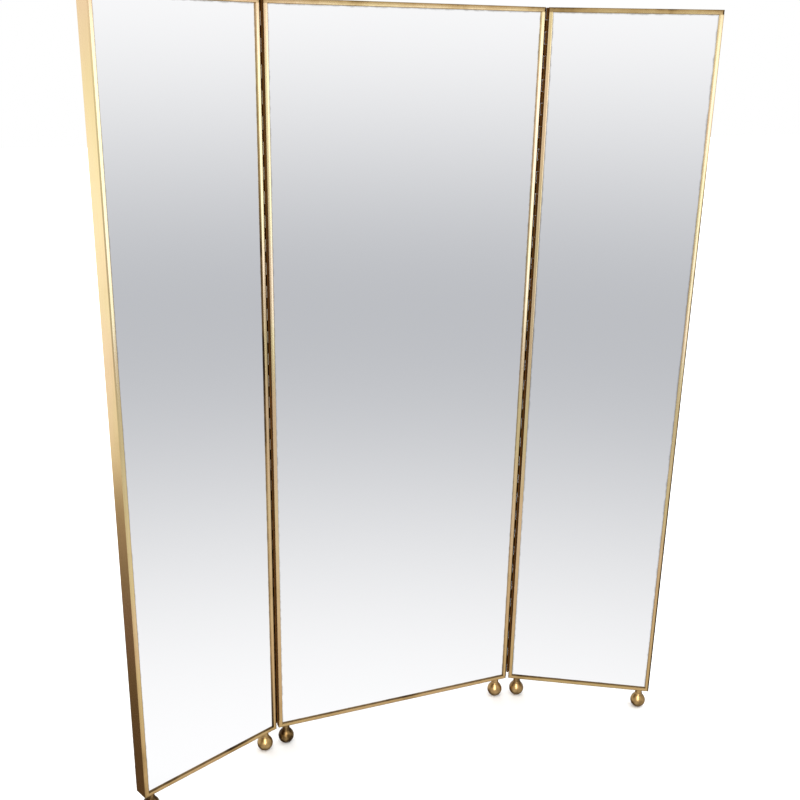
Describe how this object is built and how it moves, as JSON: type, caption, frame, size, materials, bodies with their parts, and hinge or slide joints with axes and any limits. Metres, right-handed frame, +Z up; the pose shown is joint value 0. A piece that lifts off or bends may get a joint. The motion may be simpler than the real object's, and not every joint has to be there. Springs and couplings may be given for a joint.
{
  "type": "folding mirror screen",
  "caption": "Free-standing folding screen of mirror panels in slim brass frames, joined by continuous hinges and standing on turned ball feet.",
  "frame": {"origin": "on the floor, at the middle of the screen's box in plan", "axes": "+Z up; the mirrors face -Y and the back faces +Y; +X runs from the left wing to the right wing as seen from the mirror side; the centre panel is parallel to X"},
  "size_m": [1.2996, 0.2166, 1.7],
  "materials": {
    "brass": "polished, lightly aged",
    "aged_brass": "dark, aged",
    "silvered_glass": "silvered float glass",
    "plywood": "raw",
    "lacquered_board": "black lacquered hardboard",
    "steel": "zinc plated"
  },
  "bodies": {
    "centre_panel": {"centre_back_cover": "lacquered_board", "centre_bottom_left_bracket": "steel", "centre_bottom_rail": "brass", "centre_bottom_right_bracket": "steel", "centre_core_board": "plywood", "centre_left_collar": "brass", "centre_left_foot": "brass", "centre_left_stile": "brass", "centre_left_stud": "steel", "centre_mirror": "silvered_glass", "centre_right_collar": "brass", "centre_right_foot": "brass", "centre_right_stile": "brass", "centre_right_stud": "steel", "centre_top_left_bracket": "steel", "centre_top_rail": "brass", "centre_top_right_bracket": "steel", "left_hinge_centre_leaf": "aged_brass", "left_hinge_pin": "aged_brass", "right_hinge_centre_leaf": "aged_brass", "right_hinge_pin": "aged_brass"},
    "left_wing": {"left_hinge_wing_leaf": "aged_brass", "left_wing_back_cover": "lacquered_board", "left_wing_bottom_inner_bracket": "steel", "left_wing_bottom_outer_bracket": "steel", "left_wing_bottom_rail": "brass", "left_wing_core_board": "plywood", "left_wing_inner_collar": "brass", "left_wing_inner_foot": "brass", "left_wing_inner_stile": "brass", "left_wing_inner_stud": "steel", "left_wing_mirror": "silvered_glass", "left_wing_outer_collar": "brass", "left_wing_outer_foot": "brass", "left_wing_outer_stile": "brass", "left_wing_outer_stud": "steel", "left_wing_top_inner_bracket": "steel", "left_wing_top_outer_bracket": "steel", "left_wing_top_rail": "brass"},
    "right_wing": {"right_hinge_wing_leaf": "aged_brass", "right_wing_back_cover": "lacquered_board", "right_wing_bottom_inner_bracket": "steel", "right_wing_bottom_outer_bracket": "steel", "right_wing_bottom_rail": "brass", "right_wing_core_board": "plywood", "right_wing_inner_collar": "brass", "right_wing_inner_foot": "brass", "right_wing_inner_stile": "brass", "right_wing_inner_stud": "steel", "right_wing_mirror": "silvered_glass", "right_wing_outer_collar": "brass", "right_wing_outer_foot": "brass", "right_wing_outer_stile": "brass", "right_wing_outer_stud": "steel", "right_wing_top_inner_bracket": "steel", "right_wing_top_outer_bracket": "steel", "right_wing_top_rail": "brass"}
  },
  "joints": [
    {"name": "left_wing_fold", "type": "hinge", "parent": "centre_panel", "child": "left_wing", "pos_m": [-0.30091, 0.06975, 0.8775], "axis": [0, 0, 1], "range_deg": [-28.8, 157.2]},
    {"name": "right_wing_fold", "type": "hinge", "parent": "centre_panel", "child": "right_wing", "pos_m": [0.31609, 0.06975, 0.8775], "axis": [0, 0, -1], "range_deg": [-35.7, 140.3]}
  ]
}
